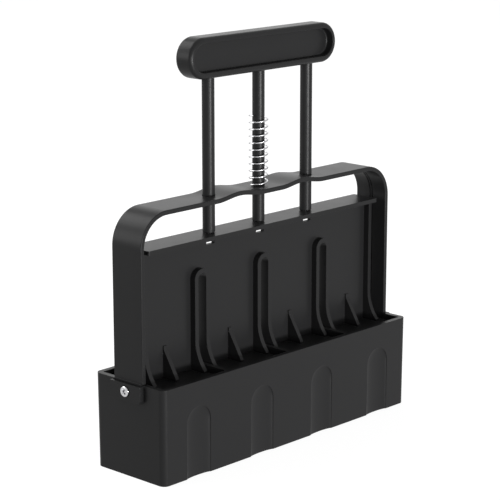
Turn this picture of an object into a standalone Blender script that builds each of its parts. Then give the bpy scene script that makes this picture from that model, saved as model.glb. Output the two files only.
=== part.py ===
import math

import bmesh
import bpy
from mathutils import Matrix, Vector

# A hand tool that presses four blocks of potting soil. +X runs along the row of cells,
# -Y is the front, +Z is up, and the origin is the middle of the mould's bottom edge.

# Shared fits
SEAT_GAP = 0.0002
SLIDE_GAP = 0.0003
OVERRUN = 0.0020
JOIN_DEPTH = 0.0004
MERGE_DISTANCE = 0.000001

# Mould box
CELL_COUNT = 4
CELL_SIZE = 0.0500
CELL_CORNER_RADIUS = 0.0010
WALL_THICKNESS = 0.0030
DIVIDER_THICKNESS = 0.0032
BOX_HEIGHT = 0.0570
BOX_CORNER_RADIUS = 0.0040
BOX_LEAN = 0.00035
GROOVE_WIDTH = 0.0194
GROOVE_DEPTH = 0.0015
GROOVE_HEIGHT = 0.0425

# Screw pads and the pockets behind them, on the end walls
PAD_REACH = 0.0031
PAD_SKIN = 0.0010
PAD_RIM_DROP = 0.0005
PAD_HEIGHT = 0.0102
PAD_FLOOR = 0.0012
PAD_SIDE = 0.0010
PAD_CORNER_RADIUS = 0.0020
PAD_SINK_DEPTH = 0.0005

# Bail strap
STRAP_WIDTH = 0.0236
STRAP_THICKNESS = 0.0028
STRAP_PROUD = 0.0004
STRAP_TOP_ABOVE_RIM = 0.0980
STRAP_BEND_RADIUS = 0.0206
HUMP_HEIGHT = 0.0020
HUMP_LENGTH = 0.0380
HUMP_CENTRE = 0.0273
STRAP_GROOVE_WIDTH = 0.0010
STRAP_GROOVE_DEPTH = 0.0009
STRAP_GROOVE_SPACING = 0.0017
STRAP_GROOVE_TRIM_DEG = 4
STRAP_GROOVE_STEPS = 7
FOOT_SIDE_STEP = 0.0007
FOOT_OUTER_STEP = 0.0006
FOOT_LEDGE_RISE = 0.0008

# Handle
HANDLE_LENGTH = 0.1254
HANDLE_HEIGHT = 0.0240
HANDLE_DEPTH = 0.0130
HANDLE_WALL = 0.0034
HANDLE_SILL = 0.0038
HANDLE_PANEL_DEPTH = 0.0050
HANDLE_EDGE_RADIUS = 0.0015
HANDLE_EDGE_SEGMENTS = 3
HANDLE_EDGE_ANGLE_DEG = 60
HANDLE_SOCKET_DEPTH = 0.0032
HANDLE_ABOVE_STRAP = 0.06885

# Push rods
ROD_DIAMETER = 0.0074
ROD_INSET = 0.0204
ROD_CHAMFER = 0.0005

# Spring
SPRING_DIAMETER = 0.0119
SPRING_WIRE = 0.0010
SPRING_PITCH = 0.00415
SPRING_TURNS = 10.04
SPRING_START_DEG = 172
SPRING_POINTS_PER_TURN = 10

# Ejector
FLANGE_LEG_GAP = 0.0054
FLANGE_DEPTH = 0.0192
FLANGE_THICKNESS = 0.0025
FLANGE_CORNER_RADIUS = 0.0012
FLANGE_BELOW_STRAP = 0.0220
WEB_THICKNESS = 0.0026
RIB_THICKNESS = 0.0028
RIB_DEPTH = 0.0104
RIB_FLARE_HEIGHT = 0.0176
RIB_FOOT_SPREAD = 0.0248
RIB_TOE_HEIGHT = 0.0008
HAIRPIN_GAP = 0.0064
HAIRPIN_BELOW_FLANGE = 0.0190
GUSSET_HEIGHT = 0.0192
GUSSET_THICKNESS = 0.0026
GUSSET_FOOT_SPREAD = 0.0240
GUSSET_TIP_SPREAD = 0.0042
GUSSET_TIP_DROP = 0.0022
GUSSET_END_SHIFT = 0.0008
PLATE_THICKNESS = 0.0030
PLATE_GAP = 0.0004
PLATE_CORNER_RADIUS = 0.0010
PLATE_BELOW_RIM = 0.0035
WINDOW_WIDTH = 0.0068
WINDOW_HEIGHT = 0.0043

# Screws
SCREW_DIAMETER = 0.0040
SCREW_HEAD_DIAMETER = 0.0063
SCREW_HEAD_HEIGHT = 0.0013
SCREW_HEAD_ROUND = 0.0007
SCREW_TIP = 0.0008
ROD_SCREW_REACH = 0.0120
BAIL_SCREW_BELOW_RIM = 0.0052
SCREW_TIP_SETBACK = 0.0003

# Seed pins
PIN_DIAMETER = 0.0100
PIN_TIP_DIAMETER = 0.0070
PIN_LENGTH = 0.0080
PIN_TIP_ROUND = 0.0020
PIN_STEM_DIAMETER = 0.0040
PIN_STEM_LENGTH = 0.0022

# Facets
ARC_STEPS = 6
BEND_STEPS = 10
HUMP_STEPS = 12
FLARE_STEPS = 7
ROUND_SEGMENTS = 24
GROOVE_SEGMENTS = 24
GROOVE_RINGS = 12
END_STEPS = 16

# Sizes that follow from the ones above
CELL_PITCH = CELL_SIZE + DIVIDER_THICKNESS
BOX_LENGTH = CELL_COUNT * CELL_PITCH - DIVIDER_THICKNESS + 2 * WALL_THICKNESS
BOX_DEPTH = CELL_SIZE + 2 * WALL_THICKNESS
CELL_CENTRES = [(i - (CELL_COUNT - 1) / 2) * CELL_PITCH for i in range(CELL_COUNT)]
DIVIDER_CENTRES = [(i - (CELL_COUNT - 2) / 2) * CELL_PITCH for i in range(CELL_COUNT - 1)]
ROD_SPACING = HANDLE_LENGTH / 2 - ROD_INSET
ROD_CENTRES = [-ROD_SPACING, 0, ROD_SPACING]
ROD_NAMES = ["left", "middle", "right"]
STRAP_TOP = BOX_HEIGHT + STRAP_TOP_ABOVE_RIM
STRAP_UNDERSIDE = STRAP_TOP - STRAP_THICKNESS
LEG_OUTER = BOX_LENGTH / 2 + STRAP_PROUD
LEG_CENTRE = LEG_OUTER - STRAP_THICKNESS / 2
LEG_INNER = LEG_OUTER - STRAP_THICKNESS
FOOT_THICKNESS = STRAP_THICKNESS + FOOT_OUTER_STEP
FOOT_WIDTH = STRAP_WIDTH - 2 * FOOT_SIDE_STEP
POCKET_WIDTH = FOOT_WIDTH + 2 * SLIDE_GAP
PAD_TOP = BOX_HEIGHT - PAD_RIM_DROP
PAD_BOTTOM = PAD_TOP - PAD_HEIGHT
POCKET_FLOOR = PAD_BOTTOM + PAD_FLOOR
FOOT_BOTTOM = POCKET_FLOOR + SEAT_GAP
FOOT_TOP = BOX_HEIGHT + FOOT_LEDGE_RISE
BAIL_SCREW_Z = BOX_HEIGHT - BAIL_SCREW_BELOW_RIM
PAD_FACE = BOX_LENGTH / 2 + PAD_REACH
PAD_SEAT = PAD_FACE - PAD_SINK_DEPTH
FLANGE_LENGTH = 2 * (LEG_INNER - FLANGE_LEG_GAP)
FLANGE_TOP = STRAP_TOP - FLANGE_BELOW_STRAP
FLANGE_UNDERSIDE = FLANGE_TOP - FLANGE_THICKNESS
PLATE_TOP = BOX_HEIGHT - PLATE_BELOW_RIM
PLATE_UNDERSIDE = PLATE_TOP - PLATE_THICKNESS
GUSSET_CENTRES = [
    CELL_CENTRES[0] - GUSSET_END_SHIFT,
    *CELL_CENTRES[1:-1],
    CELL_CENTRES[-1] + GUSSET_END_SHIFT,
]
HAIRPIN_WIDTH = HAIRPIN_GAP + 2 * RIB_THICKNESS
HAIRPIN_TOP = FLANGE_TOP - HAIRPIN_BELOW_FLANGE
HANDLE_BOTTOM = STRAP_TOP + HANDLE_ABOVE_STRAP
HANDLE_MIDDLE = HANDLE_BOTTOM + HANDLE_HEIGHT / 2
ROD_BOTTOM = FLANGE_TOP + SEAT_GAP
ROD_TOP = HANDLE_BOTTOM + HANDLE_SOCKET_DEPTH - SEAT_GAP
ROD_LENGTH = ROD_TOP - ROD_BOTTOM
ROD_BORE_DEPTH = ROD_SCREW_REACH
ROD_HOLE_DIAMETER = ROD_DIAMETER + 2 * SLIDE_GAP
SCREW_HOLE_DIAMETER = SCREW_DIAMETER + 2 * SLIDE_GAP
SCREW_SINK_DIAMETER = SCREW_HEAD_DIAMETER + 2 * SLIDE_GAP


def clear_scene():
    for item in list(bpy.data.objects):
        bpy.data.objects.remove(item)


def make_collection(name):
    collection = bpy.data.collections.new(name)
    bpy.context.scene.collection.children.link(collection)
    return collection


def make_material(name, colour, roughness, metallic):
    material = bpy.data.materials.new(name)
    material.use_nodes = True
    shader = material.node_tree.nodes["Principled BSDF"]
    shader.inputs["Base Color"].default_value = (*colour, 1)
    shader.inputs["Roughness"].default_value = roughness
    shader.inputs["Metallic"].default_value = metallic
    return material


def mesh_object(name, mesh, collection):
    item = bpy.data.objects.new(name, mesh)
    collection.objects.link(item)
    return item


def set_parent(item, parent):
    item.parent = parent
    item.location = item.location - parent.location
    return item


# A flat outline, extruded: its own X and Y are the outline's, its own Z is the thickness
def outline_solid(name, points, thickness, collection):
    curve = bpy.data.curves.new(name + "_outline", "CURVE")
    curve.dimensions = "2D"
    curve.fill_mode = "BOTH"
    curve.extrude = thickness / 2
    spline = curve.splines.new("POLY")
    spline.points.add(len(points) - 1)
    for target, (x, y) in zip(spline.points, points):
        target.co = (x, y, 0, 1)
    spline.use_cyclic_u = True
    holder = bpy.data.objects.new(name + "_outline", curve)
    collection.objects.link(holder)
    graph = bpy.context.evaluated_depsgraph_get()
    mesh = bpy.data.meshes.new_from_object(holder.evaluated_get(graph))
    mesh.name = name
    bpy.data.objects.remove(holder)
    shape = bmesh.new()
    shape.from_mesh(mesh)
    bmesh.ops.remove_doubles(shape, verts=shape.verts, dist=MERGE_DISTANCE)
    bmesh.ops.recalc_face_normals(shape, faces=shape.faces)
    shape.to_mesh(mesh)
    shape.free()
    return mesh_object(name, mesh, collection)


# Stands an outline up: its X stays X and its Y becomes Z, so its thickness lies along Y
def stand_facing_front(item):
    item.data.transform(Matrix.Rotation(math.radians(90), 4, "X"))
    return item


# Stands an outline up side-on: its X becomes Y and its Y becomes Z, its thickness along X
def stand_facing_side(item):
    item.data.transform(Matrix.Rotation(math.radians(90), 4, "X"))
    item.data.transform(Matrix.Rotation(math.radians(90), 4, "Z"))
    return item


def box_solid(name, low, high, collection):
    shape = bmesh.new()
    bmesh.ops.create_cube(shape, size=1)
    size = Vector(high) - Vector(low)
    centre = (Vector(high) + Vector(low)) / 2
    bmesh.ops.scale(shape, vec=size, verts=shape.verts)
    bmesh.ops.translate(shape, vec=centre, verts=shape.verts)
    mesh = bpy.data.meshes.new(name)
    shape.to_mesh(mesh)
    shape.free()
    return mesh_object(name, mesh, collection)


def cylinder_solid(name, diameter, bottom, top, collection):
    shape = bmesh.new()
    bmesh.ops.create_cone(
        shape,
        cap_ends=True,
        segments=ROUND_SEGMENTS,
        radius1=diameter / 2,
        radius2=diameter / 2,
        depth=top - bottom,
    )
    bmesh.ops.translate(shape, vec=(0, 0, (top + bottom) / 2), verts=shape.verts)
    mesh = bpy.data.meshes.new(name)
    shape.to_mesh(mesh)
    shape.free()
    return mesh_object(name, mesh, collection)


# A profile of radius and height points, from the top of the axis to its bottom, turned about Z
def turned_solid(name, profile, collection):
    mesh = bpy.data.meshes.new(name)
    edges = [(i, i + 1) for i in range(len(profile) - 1)]
    mesh.from_pydata([(radius, 0, height) for radius, height in profile], edges, [])
    item = mesh_object(name, mesh, collection)
    turn = item.modifiers.new("turn", "SCREW")
    turn.axis = "Z"
    turn.angle = math.radians(360)
    turn.screw_offset = 0
    turn.steps = ROUND_SEGMENTS
    turn.render_steps = ROUND_SEGMENTS
    turn.use_merge_vertices = True
    turn.merge_threshold = MERGE_DISTANCE
    return item


def arc(centre, radius, start_deg, end_deg, steps):
    points = []
    for i in range(steps + 1):
        angle = math.radians(start_deg + (end_deg - start_deg) * i / steps)
        points.append((centre[0] + radius * math.cos(angle), centre[1] + radius * math.sin(angle)))
    return points


def rounded_rectangle(length, width, radius):
    x = length / 2 - radius
    y = width / 2 - radius
    points = arc((x, y), radius, 0, 90, ARC_STEPS)
    points += arc((-x, y), radius, 90, 180, ARC_STEPS)
    points += arc((-x, -y), radius, 180, 270, ARC_STEPS)
    points += arc((x, -y), radius, 270, 360, ARC_STEPS)
    return points


def stadium(length, height):
    reach = length / 2 - height / 2
    points = arc((reach, 0), height / 2, -90, 90, END_STEPS)
    points += arc((-reach, 0), height / 2, 90, 270, END_STEPS)
    return points


def add_bevel(item, width, segments, angle_deg):
    bevel = item.modifiers.new("bevel", "BEVEL")
    bevel.width = width
    bevel.segments = segments
    bevel.limit_method = "ANGLE"
    bevel.angle_limit = math.radians(angle_deg)
    return item


def combine(item, other, operation):
    step = item.modifiers.new(other.name, "BOOLEAN")
    step.operation = operation
    step.solver = "EXACT"
    step.object = other
    other.parent = item
    other.matrix_parent_inverse = item.matrix_world.inverted()
    other.hide_render = True
    other.display_type = "WIRE"


def finish(item, material):
    item.data.materials.clear()
    item.data.materials.append(material)
    return item


def shade_round(item):
    item.data.shade_smooth()
    return item


def build_mould_box(parts, cutters, material):
    outline = rounded_rectangle(BOX_LENGTH, BOX_DEPTH, BOX_CORNER_RADIUS)
    box = outline_solid("mould_box", outline, BOX_HEIGHT, parts)
    box.data.transform(Matrix.Translation((0, 0, BOX_HEIGHT / 2)))
    lean_out(box)
    for side in (-1, 1):
        combine(box, screw_pad("pad_outline", side, cutters), "UNION")
    for number, centre in enumerate(CELL_CENTRES, 1):
        opening = rounded_rectangle(CELL_SIZE, CELL_SIZE, CELL_CORNER_RADIUS)
        cell = outline_solid(f"cell_cut_{number}", opening, BOX_HEIGHT + 2 * OVERRUN, cutters)
        cell.location = (centre, 0, BOX_HEIGHT / 2)
        bpy.context.view_layer.update()
        combine(box, cell, "DIFFERENCE")
        for face in (-1, 1):
            groove = groove_cutter(f"groove_cut_{number}", centre, face * BOX_DEPTH / 2, cutters)
            combine(box, groove, "DIFFERENCE")
    for side in (-1, 1):
        combine(box, pocket_cutter("pocket_cut", side, cutters), "DIFFERENCE")
        hole = screw_cutter("pad_hole_cut", SCREW_HOLE_DIAMETER, PAD_SKIN + OVERRUN, side, cutters)
        combine(box, hole, "DIFFERENCE")
        sink = screw_cutter("pad_sink_cut", SCREW_SINK_DIAMETER, PAD_SINK_DEPTH, side, cutters)
        combine(box, sink, "DIFFERENCE")
    return finish(box, material)


# The outer walls lean out a little toward the rim, the draft of a moulded box
def lean_out(box):
    for vertex in box.data.vertices:
        if vertex.co.z > BOX_HEIGHT / 2:
            vertex.co.x += math.copysign(BOX_LEAN, vertex.co.x)
            vertex.co.y += math.copysign(BOX_LEAN, vertex.co.y)


# The raised pad on an end wall, square at the top and rounded at its lower corners
def screw_pad(name, side, collection):
    half = POCKET_WIDTH / 2 + PAD_SIDE
    low = PAD_BOTTOM + PAD_CORNER_RADIUS
    turn = half - PAD_CORNER_RADIUS
    points = [(half, PAD_TOP), (-half, PAD_TOP)]
    points += arc((-turn, low), PAD_CORNER_RADIUS, 180, 270, ARC_STEPS)
    points += arc((turn, low), PAD_CORNER_RADIUS, 270, 360, ARC_STEPS)
    pad = stand_facing_side(outline_solid(name, points, PAD_REACH + JOIN_DEPTH, collection))
    pad.location = (side * (PAD_FACE - (PAD_REACH + JOIN_DEPTH) / 2), 0, 0)
    bpy.context.view_layer.update()
    return pad


# The pocket takes the strap's foot: it opens upward, and inward through the end wall
def pocket_cutter(name, side, collection):
    inner = BOX_LENGTH / 2 - WALL_THICKNESS - OVERRUN
    outer = PAD_FACE - PAD_SKIN
    low = (min(side * inner, side * outer), -POCKET_WIDTH / 2, POCKET_FLOOR)
    high = (max(side * inner, side * outer), POCKET_WIDTH / 2, BOX_HEIGHT + OVERRUN)
    return box_solid(name, low, high, collection)


# A round cut into a pad from its outer face, to the given depth
def screw_cutter(name, diameter, depth, side, collection):
    reach = depth + OVERRUN
    hole = cylinder_solid(name, diameter, -reach / 2, reach / 2, collection)
    hole.data.transform(Matrix.Rotation(math.radians(90), 4, "Y"))
    return at(hole, (side * (PAD_FACE + OVERRUN - reach / 2), 0, BAIL_SCREW_Z))


# A scoop with a round arch on top: a sphere whose lower half is drawn down past the bottom edge
def groove_cutter(name, x, y, collection):
    shape = bmesh.new()
    bmesh.ops.create_uvsphere(shape, u_segments=GROOVE_SEGMENTS, v_segments=GROOVE_RINGS, radius=1)
    bmesh.ops.scale(shape, vec=(GROOVE_WIDTH / 2, GROOVE_DEPTH, GROOVE_WIDTH / 2), verts=shape.verts)
    lower = [vertex for vertex in shape.verts if vertex.co.z < -MERGE_DISTANCE]
    bmesh.ops.translate(shape, vec=(0, 0, -GROOVE_HEIGHT - OVERRUN), verts=lower)
    mesh = bpy.data.meshes.new(name)
    shape.to_mesh(mesh)
    shape.free()
    groove = mesh_object(name, mesh, collection)
    groove.location = (x, y, GROOVE_HEIGHT - GROOVE_WIDTH / 2)
    bpy.context.view_layer.update()
    return groove


def hump_rise(x):
    offset = abs(abs(x) - HUMP_CENTRE)
    if offset >= HUMP_LENGTH / 2:
        return 0
    return HUMP_HEIGHT * math.cos(math.pi * offset / HUMP_LENGTH) ** 2


# Half of the strap's middle line, from a foot up round the bend, moved inward by depth
def strap_bend(bottom, depth, trim_deg, steps):
    radius = STRAP_BEND_RADIUS - STRAP_THICKNESS / 2 - depth
    side = LEG_CENTRE - depth
    top = STRAP_TOP - STRAP_THICKNESS / 2 - depth
    return [(side, bottom)] + arc((side - radius, top - radius), radius, trim_deg, 90 - trim_deg, steps)


def strap_path(bottom):
    right = strap_bend(bottom, 0, 0, BEND_STEPS)
    near = HUMP_CENTRE - HUMP_LENGTH / 2
    for i in range(HUMP_STEPS + 1):
        x = near + HUMP_LENGTH * (HUMP_STEPS - i) / HUMP_STEPS
        right.append((x, STRAP_TOP - STRAP_THICKNESS / 2 + hump_rise(x)))
    left = [(-x, z) for x, z in right]
    return left + right[::-1]


def ribbon(name, path, width, thickness, collection):
    shape = bmesh.new()
    line = [shape.verts.new((x, -width / 2, z)) for x, z in path]
    edges = [shape.edges.new(pair) for pair in zip(line, line[1:])]
    swept = bmesh.ops.extrude_edge_only(shape, edges=edges)
    moved = [part for part in swept["geom"] if isinstance(part, bmesh.types.BMVert)]
    bmesh.ops.translate(shape, vec=(0, width, 0), verts=moved)
    bmesh.ops.recalc_face_normals(shape, faces=shape.faces)
    mesh = bpy.data.meshes.new(name)
    shape.to_mesh(mesh)
    shape.free()
    item = mesh_object(name, mesh, collection)
    skin = item.modifiers.new("thickness", "SOLIDIFY")
    skin.thickness = thickness
    skin.offset = 0
    skin.use_even_offset = True
    return item


def build_bail(parts, cutters, material):
    leg_bottom = BOX_HEIGHT + SEAT_GAP
    bail = ribbon("bail_strap", strap_path(leg_bottom), STRAP_WIDTH, STRAP_THICKNESS, parts)
    for side in (-1, 1):
        combine(bail, strap_foot("foot", side, cutters), "UNION")
    depth = STRAP_THICKNESS / 2 - STRAP_GROOVE_DEPTH / 2 + OVERRUN / 2
    right = strap_bend(leg_bottom - OVERRUN, depth, STRAP_GROOVE_TRIM_DEG, STRAP_GROOVE_STEPS)
    left = [(-x, z) for x, z in right]
    groove_reach = STRAP_GROOVE_DEPTH + OVERRUN
    for path in (left, right):
        for side in (-1, 1):
            groove = ribbon("strap_groove_cut", path, STRAP_GROOVE_WIDTH, groove_reach, cutters)
            combine(bail, at(groove, (0, side * STRAP_GROOVE_SPACING / 2, 0)), "DIFFERENCE")
    for x in ROD_CENTRES:
        low = STRAP_UNDERSIDE - OVERRUN
        high = STRAP_TOP + HUMP_HEIGHT + OVERRUN
        hole = cylinder_solid("rod_hole_cut", ROD_HOLE_DIAMETER, low, high, cutters)
        combine(bail, at(hole, (x, 0, 0)), "DIFFERENCE")
    for side in (-1, 1):
        reach = FOOT_THICKNESS + 2 * OVERRUN
        hole = cylinder_solid("foot_hole_cut", SCREW_HOLE_DIAMETER, -reach / 2, reach / 2, cutters)
        hole.data.transform(Matrix.Rotation(math.radians(90), 4, "Y"))
        hole.location = (side * LEG_OUTER, 0, BAIL_SCREW_Z)
        bpy.context.view_layer.update()
        combine(bail, hole, "DIFFERENCE")
    return finish(bail, material)


# The foot is narrower than the leg, so the leg's shoulders rest on the rim, and a little thicker
def strap_foot(name, side, collection):
    inner = side * LEG_INNER
    outer = side * (LEG_OUTER + FOOT_OUTER_STEP)
    low = (min(inner, outer), -FOOT_WIDTH / 2, FOOT_BOTTOM)
    high = (max(inner, outer), FOOT_WIDTH / 2, FOOT_TOP)
    return box_solid(name, low, high, collection)


# The grip's faces are sunk inside an even wall, with a thicker sill at the bottom for the rods
def build_handle(parts, cutters, material):
    handle = outline_solid("handle_grip", stadium(HANDLE_LENGTH, HANDLE_HEIGHT), HANDLE_DEPTH, parts)
    stand_facing_front(handle)
    add_bevel(handle, HANDLE_EDGE_RADIUS, HANDLE_EDGE_SEGMENTS, HANDLE_EDGE_ANGLE_DEG)
    at(handle, (0, 0, HANDLE_MIDDLE))
    panel = stadium(HANDLE_LENGTH - 2 * HANDLE_WALL, HANDLE_HEIGHT - HANDLE_WALL - HANDLE_SILL)
    panel_middle = HANDLE_MIDDLE + (HANDLE_SILL - HANDLE_WALL) / 2
    for face in (-1, 1):
        cut = outline_solid("panel_cut", panel, HANDLE_PANEL_DEPTH + OVERRUN, cutters)
        stand_facing_front(cut)
        reach = HANDLE_DEPTH / 2 - HANDLE_PANEL_DEPTH + (HANDLE_PANEL_DEPTH + OVERRUN) / 2
        combine(handle, at(cut, (0, face * reach, panel_middle)), "DIFFERENCE")
    for x in ROD_CENTRES:
        low = HANDLE_BOTTOM - OVERRUN
        high = HANDLE_BOTTOM + HANDLE_SOCKET_DEPTH
        socket = cylinder_solid("socket_cut", ROD_HOLE_DIAMETER, low, high, cutters)
        combine(handle, at(socket, (x, 0, 0)), "DIFFERENCE")
    return finish(handle, material)


def build_rod(name, x, parts, material):
    radius = ROD_DIAMETER / 2
    bore = SCREW_HOLE_DIAMETER / 2
    profile = [
        (0, ROD_LENGTH),
        (radius - ROD_CHAMFER, ROD_LENGTH),
        (radius, ROD_LENGTH - ROD_CHAMFER),
        (radius, ROD_CHAMFER),
        (radius - ROD_CHAMFER, 0),
        (bore, 0),
        (bore, ROD_BORE_DEPTH),
        (0, ROD_BORE_DEPTH),
    ]
    rod = turned_solid(name, profile, parts)
    rod.location = (x, 0, ROD_BOTTOM)
    return finish(shade_round(rod), material)


# Pan-head screw along +Z, with the underside of its head at the origin and its head below
def screw_profile(reach):
    head = SCREW_HEAD_DIAMETER / 2
    shank = SCREW_DIAMETER / 2
    rim = SCREW_HEAD_HEIGHT - SCREW_HEAD_ROUND
    profile = [(0, reach), (shank - SCREW_TIP, reach), (shank, reach - SCREW_TIP), (shank, 0), (head, 0)]
    for i in range(ARC_STEPS + 1):
        angle = math.radians(90) * i / ARC_STEPS
        radius = head - SCREW_HEAD_ROUND * (1 - math.cos(angle))
        profile.append((radius, -rim - SCREW_HEAD_ROUND * math.sin(angle)))
    profile.append((0, -SCREW_HEAD_HEIGHT))
    return profile


def build_rod_screw(name, x, parts, material):
    reach = FLANGE_THICKNESS + ROD_SCREW_REACH - SEAT_GAP
    screw = turned_solid(name, screw_profile(reach), parts)
    screw.location = (x, 0, FLANGE_UNDERSIDE - SEAT_GAP)
    return finish(shade_round(screw), material)


def build_bail_screw(name, side, parts, material):
    tip = LEG_INNER + SCREW_TIP_SETBACK
    seat = PAD_SEAT + SEAT_GAP
    screw = turned_solid(name, screw_profile(seat - tip), parts)
    screw.rotation_euler = (0, math.radians(-90 * side), 0)
    screw.location = (side * seat, 0, BAIL_SCREW_Z)
    return finish(shade_round(screw), material)


def spring_points():
    radius = (SPRING_DIAMETER - SPRING_WIRE) / 2
    count = round(SPRING_TURNS * SPRING_POINTS_PER_TURN)
    points = []
    for i in range(count + 1):
        turn = SPRING_TURNS * i / count
        angle = math.radians(SPRING_START_DEG + 360 * turn)
        points.append(Vector((radius * math.cos(angle), radius * math.sin(angle), SPRING_PITCH * turn)))
    return points


def least_self_gap(points):
    apart = SPRING_POINTS_PER_TURN // 2
    least = None
    for i in range(len(points)):
        for j in range(i + apart, len(points)):
            gap = (points[i] - points[j]).length - SPRING_WIRE
            if least is None or gap < least:
                least = gap
    return least


def build_spring(parts, material):
    points = spring_points()
    curve = bpy.data.curves.new("spring", "CURVE")
    curve.dimensions = "3D"
    curve.bevel_depth = SPRING_WIRE / 2
    curve.bevel_resolution = 1
    curve.use_fill_caps = True
    spline = curve.splines.new("POLY")
    spline.points.add(len(points) - 1)
    for target, point in zip(spline.points, points):
        target.co = (*point, 1)
    spring = bpy.data.objects.new("spring", curve)
    parts.objects.link(spring)
    spring.location = (0, 0, STRAP_TOP + SEAT_GAP + SPRING_WIRE / 2)
    print("spring: least gap between turns", round(least_self_gap(points) * 1000, 3), "mm")
    return finish(spring, material)


# Half the depth of a rib from its foot on the plate up: a short toe, then an arc that meets the straight rib
def rib_half_profile():
    straight = RIB_DEPTH / 2
    foot = RIB_FOOT_SPREAD / 2
    flare = foot - straight
    radius = (RIB_FLARE_HEIGHT**2 + flare**2) / (2 * flare)
    slope = math.asin(RIB_FLARE_HEIGHT / radius)
    bend_end = PLATE_TOP + RIB_TOE_HEIGHT + RIB_FLARE_HEIGHT
    points = [(foot, PLATE_TOP - JOIN_DEPTH)]
    for i in range(FLARE_STEPS + 1):
        angle = slope * (FLARE_STEPS - i) / FLARE_STEPS
        reach = straight + radius * (1 - math.cos(angle))
        points.append((reach, bend_end - radius * math.sin(angle)))
    return points


def rib_prism(name, top, thickness, collection):
    right = rib_half_profile() + [(RIB_DEPTH / 2, top)]
    left = [(-reach, height) for reach, height in right]
    return stand_facing_side(outline_solid(name, right + left[::-1], thickness, collection))


def hairpin_blank(name, collection):
    half = HAIRPIN_WIDTH / 2
    low = PLATE_TOP - 2 * JOIN_DEPTH
    points = [(-half, low), (half, low)] + arc((0, HAIRPIN_TOP - half), half, 0, 180, END_STEPS)
    return stand_facing_front(outline_solid(name, points, RIB_FOOT_SPREAD + 2 * OVERRUN, collection))


def slot_cutter(name, collection):
    half = HAIRPIN_GAP / 2
    low = PLATE_TOP - JOIN_DEPTH - OVERRUN
    crown = HAIRPIN_TOP - RIB_THICKNESS - half
    points = [(-half, low), (half, low)] + arc((0, crown), half, 0, 180, END_STEPS)
    return stand_facing_front(outline_solid(name, points, RIB_FOOT_SPREAD + 4 * OVERRUN, collection))


# A sloped brace from a short toe on the plate up to a blunt tip on the web
def gusset_blank(name, collection):
    tip = PLATE_TOP + GUSSET_HEIGHT
    toe = PLATE_TOP + RIB_TOE_HEIGHT
    foot = GUSSET_FOOT_SPREAD / 2
    blunt = GUSSET_TIP_SPREAD / 2
    low = PLATE_TOP - JOIN_DEPTH
    points = [(foot, low), (foot, toe), (blunt, tip - GUSSET_TIP_DROP), (blunt, tip)]
    points += [(-reach, height) for reach, height in reversed(points)]
    return stand_facing_side(outline_solid(name, points, GUSSET_THICKNESS, collection))


def at(item, location):
    item.location = location
    bpy.context.view_layer.update()
    return item


def build_ejector(parts, cutters, material):
    outline = rounded_rectangle(FLANGE_LENGTH, FLANGE_DEPTH, FLANGE_CORNER_RADIUS)
    ejector = outline_solid("ejector", outline, FLANGE_THICKNESS, parts)
    at(ejector, (0, 0, FLANGE_TOP - FLANGE_THICKNESS / 2))
    web_length = FLANGE_LENGTH - RIB_THICKNESS
    web_low = (-web_length / 2, -WEB_THICKNESS / 2, PLATE_TOP - JOIN_DEPTH)
    web_high = (web_length / 2, WEB_THICKNESS / 2, FLANGE_UNDERSIDE + JOIN_DEPTH)
    combine(ejector, box_solid("web", web_low, web_high, cutters), "UNION")
    for x in DIVIDER_CENTRES:
        hairpin = at(rib_prism("hairpin", HAIRPIN_TOP + OVERRUN, HAIRPIN_WIDTH, cutters), (x, 0, 0))
        combine(hairpin, at(hairpin_blank("hairpin_blank", cutters), (x, 0, 0)), "INTERSECT")
        combine(ejector, hairpin, "UNION")
    for side in (-1, 1):
        place = (side * (FLANGE_LENGTH - RIB_THICKNESS) / 2, 0, 0)
        rib = at(rib_prism("end_rib", FLANGE_UNDERSIDE + JOIN_DEPTH, RIB_THICKNESS, cutters), place)
        combine(ejector, rib, "UNION")
    for x in GUSSET_CENTRES:
        combine(ejector, at(gusset_blank("gusset", cutters), (x, 0, 0)), "UNION")
    for x in CELL_CENTRES:
        size = CELL_SIZE - 2 * PLATE_GAP
        plate_outline = rounded_rectangle(size, size, PLATE_CORNER_RADIUS)
        plate = outline_solid("plate", plate_outline, PLATE_THICKNESS, cutters)
        combine(ejector, at(plate, (x, 0, PLATE_TOP - PLATE_THICKNESS / 2)), "UNION")
    for x in DIVIDER_CENTRES:
        combine(ejector, at(slot_cutter("slot_cut", cutters), (x, 0, 0)), "DIFFERENCE")
    for x in ROD_CENTRES:
        low = (x - WINDOW_WIDTH / 2, -WEB_THICKNESS, FLANGE_UNDERSIDE - WINDOW_HEIGHT)
        high = (x + WINDOW_WIDTH / 2, WEB_THICKNESS, FLANGE_UNDERSIDE)
        combine(ejector, box_solid("window_cut", low, high, cutters), "DIFFERENCE")
        bore_low = FLANGE_UNDERSIDE - OVERRUN
        bore = cylinder_solid("bore_cut", SCREW_HOLE_DIAMETER, bore_low, FLANGE_TOP + OVERRUN, cutters)
        combine(ejector, at(bore, (x, 0, 0)), "DIFFERENCE")
    for x in CELL_CENTRES:
        depth = PIN_STEM_LENGTH + SEAT_GAP
        diameter = PIN_STEM_DIAMETER + 2 * SLIDE_GAP
        low = PLATE_UNDERSIDE - OVERRUN
        socket = cylinder_solid("pin_socket_cut", diameter, low, PLATE_UNDERSIDE + depth, cutters)
        combine(ejector, at(socket, (x, 0, 0)), "DIFFERENCE")
    return finish(ejector, material)


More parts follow.
